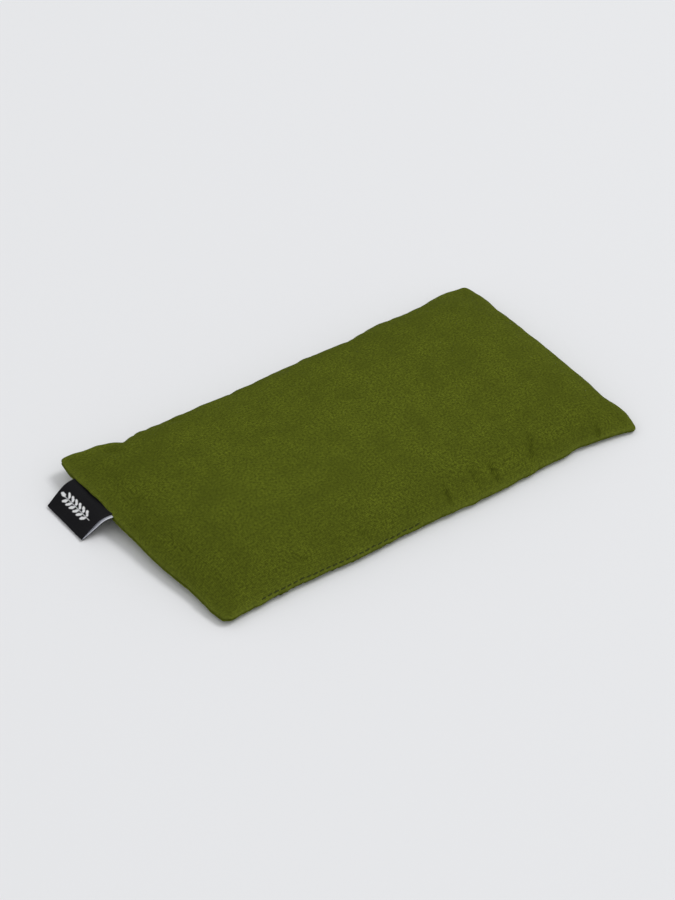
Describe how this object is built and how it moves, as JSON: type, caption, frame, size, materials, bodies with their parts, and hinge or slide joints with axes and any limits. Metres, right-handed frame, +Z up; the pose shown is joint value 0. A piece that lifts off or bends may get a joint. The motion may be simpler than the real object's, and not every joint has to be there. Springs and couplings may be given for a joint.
{
  "type": "eye pillow",
  "caption": "Flat rectangular eye pillow: a sewn canvas cover over an inner bag of loose grain, with a hinged folded loop label at one end.",
  "frame": {"origin": "centre of the cover's flat underside, on the plane that the pillow rests on", "axes": "+Z up through the upper panel, X along the pillow's length with the label at the -X end, Y across it with the closing row at the -Y edge"},
  "size_m": [0.2154, 0.116, 0.0178],
  "materials": {
    "canvas": "matt plain-weave cotton canvas, olive green",
    "cover_thread": "dark green spun polyester sewing thread",
    "woven_label": "black woven ribbon with a pale reverse",
    "calico": "unbleached plain-weave calico",
    "liner_thread": "undyed spun thread",
    "grain": "loose whole linseed with dried lavender buds"
  },
  "bodies": {
    "pillow": {"cover_top": "canvas", "cover_bottom": "canvas", "cover_seam_thread": "cover_thread", "closing_needle_thread": "cover_thread", "closing_bobbin_thread": "cover_thread", "label_ends": "woven_label", "liner_top": "calico", "liner_bottom": "calico", "liner_seam_thread": "liner_thread", "liner_closing_thread": "liner_thread", "filling": "grain"},
    "label": {"label_loop": "woven_label"}
  },
  "joints": [
    {"name": "label_flex", "type": "hinge", "parent": "pillow", "child": "label", "pos_m": [-0.101, 0.02975, 0.008], "axis": [0, 1, 0], "range_deg": [0, 100], "stiffness_Nm_per_rad": 0.00002}
  ]
}
